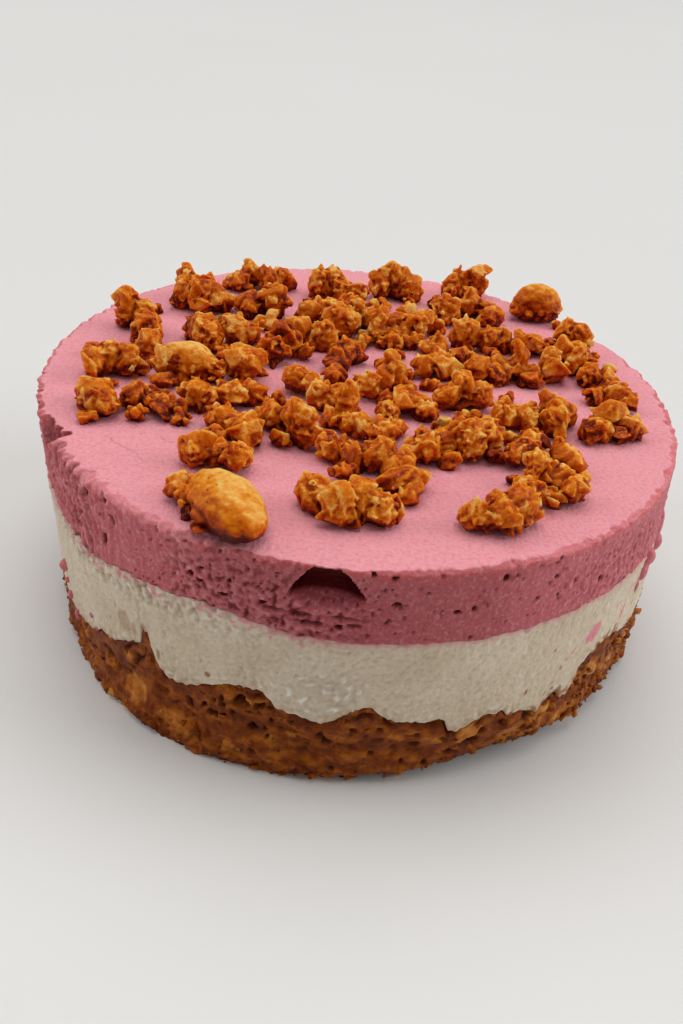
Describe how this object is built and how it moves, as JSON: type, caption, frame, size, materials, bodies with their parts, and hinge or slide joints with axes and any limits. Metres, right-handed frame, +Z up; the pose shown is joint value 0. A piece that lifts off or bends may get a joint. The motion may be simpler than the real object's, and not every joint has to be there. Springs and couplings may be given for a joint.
{
  "type": "small round strawberry cheesecake",
  "caption": "Small round no-bake cheesecake: a pressed nut and date base, a plain cream layer, a strawberry cream layer and candied peanut clusters on top.",
  "frame": {"origin": "middle of the underside, where the cake rests", "axes": "+Z up; the pictured front faces -Y, and +X is to the right of it"},
  "size_m": [0.1023, 0.1012, 0.0452],
  "materials": {
    "date_nut_base": "coarse, slightly sticky ground nuts and dates, brown with paler nut pieces and dark pores",
    "plain_cream": "dense matte cream with small pits and pale specks",
    "strawberry_cream": "matte pink cream, fine grained on top and pitted on the wall",
    "candied_peanut": "glossy amber caramel over chopped peanut, from pale gold to dark red-brown"
  },
  "bodies": {
    "root": {"nut_base": "date_nut_base", "cream_layer": "plain_cream", "strawberry_layer": "strawberry_cream", "peanut_cluster_01": "candied_peanut", "peanut_cluster_02": "candied_peanut", "peanut_cluster_03": "candied_peanut", "peanut_cluster_04": "candied_peanut", "peanut_cluster_05": "candied_peanut", "peanut_cluster_06": "candied_peanut", "peanut_cluster_07": "candied_peanut", "peanut_cluster_08": "candied_peanut", "peanut_cluster_09": "candied_peanut", "peanut_cluster_10": "candied_peanut", "peanut_cluster_11": "candied_peanut", "peanut_cluster_12": "candied_peanut", "peanut_cluster_13": "candied_peanut", "peanut_cluster_14": "candied_peanut", "peanut_cluster_15": "candied_peanut", "peanut_cluster_16": "candied_peanut", "peanut_cluster_17": "candied_peanut", "peanut_cluster_18": "candied_peanut", "peanut_cluster_19": "candied_peanut", "peanut_cluster_20": "candied_peanut", "peanut_cluster_21": "candied_peanut", "peanut_cluster_22": "candied_peanut", "peanut_cluster_23": "candied_peanut", "peanut_cluster_24": "candied_peanut", "peanut_cluster_25": "candied_peanut", "peanut_cluster_26": "candied_peanut", "peanut_cluster_27": "candied_peanut", "peanut_cluster_28": "candied_peanut", "peanut_cluster_29": "candied_peanut", "peanut_cluster_30": "candied_peanut", "peanut_cluster_31": "candied_peanut", "peanut_cluster_32": "candied_peanut", "peanut_cluster_33": "candied_peanut", "peanut_cluster_34": "candied_peanut", "peanut_cluster_35": "candied_peanut", "peanut_cluster_36": "candied_peanut", "peanut_cluster_37": "candied_peanut", "peanut_cluster_38": "candied_peanut", "peanut_cluster_39": "candied_peanut", "peanut_cluster_40": "candied_peanut", "peanut_cluster_41": "candied_peanut", "peanut_cluster_42": "candied_peanut", "peanut_cluster_43": "candied_peanut", "peanut_cluster_44": "candied_peanut", "peanut_cluster_45": "candied_peanut", "peanut_cluster_46": "candied_peanut", "peanut_cluster_47": "candied_peanut", "peanut_cluster_48": "candied_peanut", "peanut_cluster_49": "candied_peanut", "peanut_cluster_50": "candied_peanut", "peanut_cluster_51": "candied_peanut", "peanut_cluster_52": "candied_peanut", "peanut_cluster_53": "candied_peanut", "peanut_cluster_54": "candied_peanut", "peanut_cluster_55": "candied_peanut", "peanut_cluster_56": "candied_peanut", "peanut_cluster_57": "candied_peanut"}
  },
  "joints": []
}
